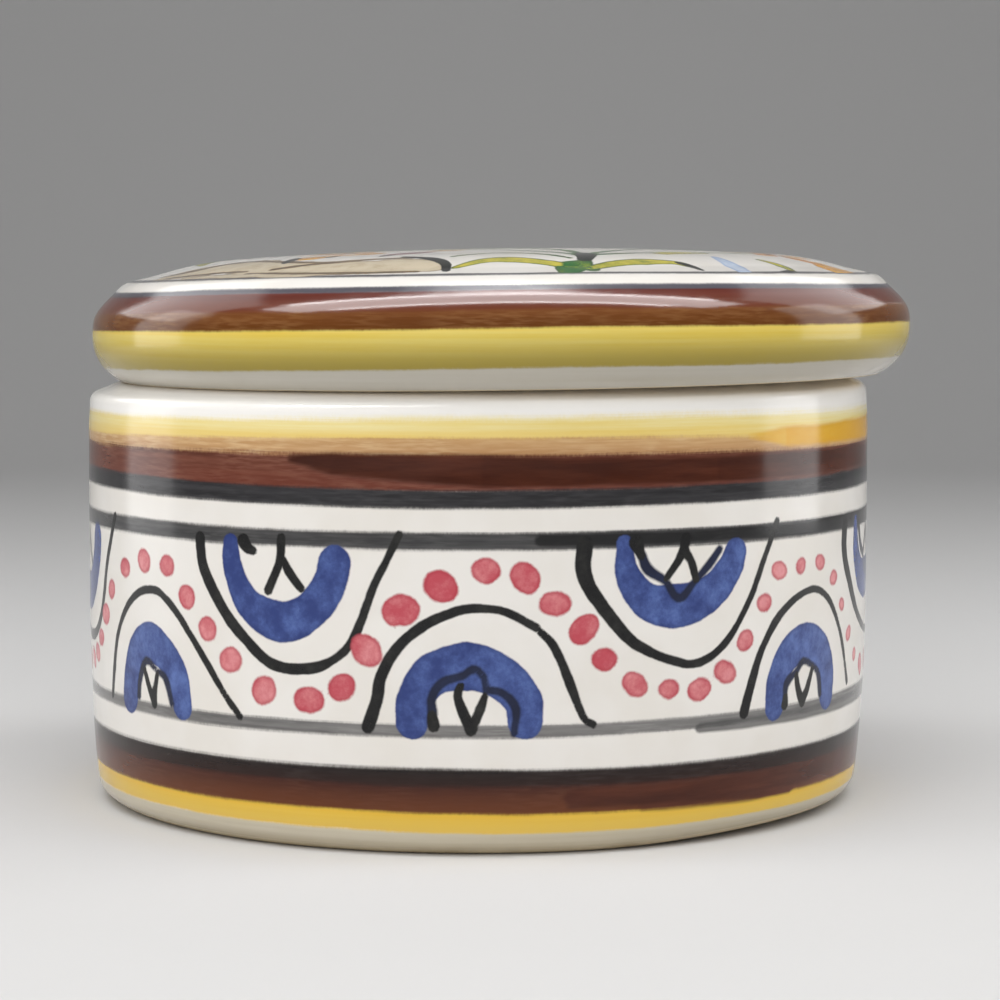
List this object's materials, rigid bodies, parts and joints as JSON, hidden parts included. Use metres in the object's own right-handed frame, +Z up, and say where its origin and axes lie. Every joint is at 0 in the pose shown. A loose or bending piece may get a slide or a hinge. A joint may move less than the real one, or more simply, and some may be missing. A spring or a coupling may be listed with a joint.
{
  "type": "lidded trinket box",
  "caption": "Round glazed earthenware box with a straight wall, a foot ring and a loose crowned lid whose round edge overhangs the rim; holds small things.",
  "frame": {"origin": "centre of the foot ring, on the table", "axes": "+Z up along the body's axis; -Y towards the picture's viewer; +X to the viewer's right, the way the lid is pushed off centre"},
  "size_m": [0.1053, 0.1046, 0.0698],
  "materials": {
    "painted_body_glaze": "glossy white tin glaze with painted bands and frieze, bare clay on the foot ring",
    "painted_lid_glaze": "glossy white tin glaze with painted edge bands and a painted crown, bare clay on the flange tip"
  },
  "bodies": {
    "box": {"box_body": "painted_body_glaze"},
    "lid": {"lid": "painted_lid_glaze"}
  },
  "joints": [
    {"name": "lid_lift", "type": "slide", "parent": "box", "child": "lid", "axis": [0, 0, 1], "range_m": [0, 0.08]}
  ]
}
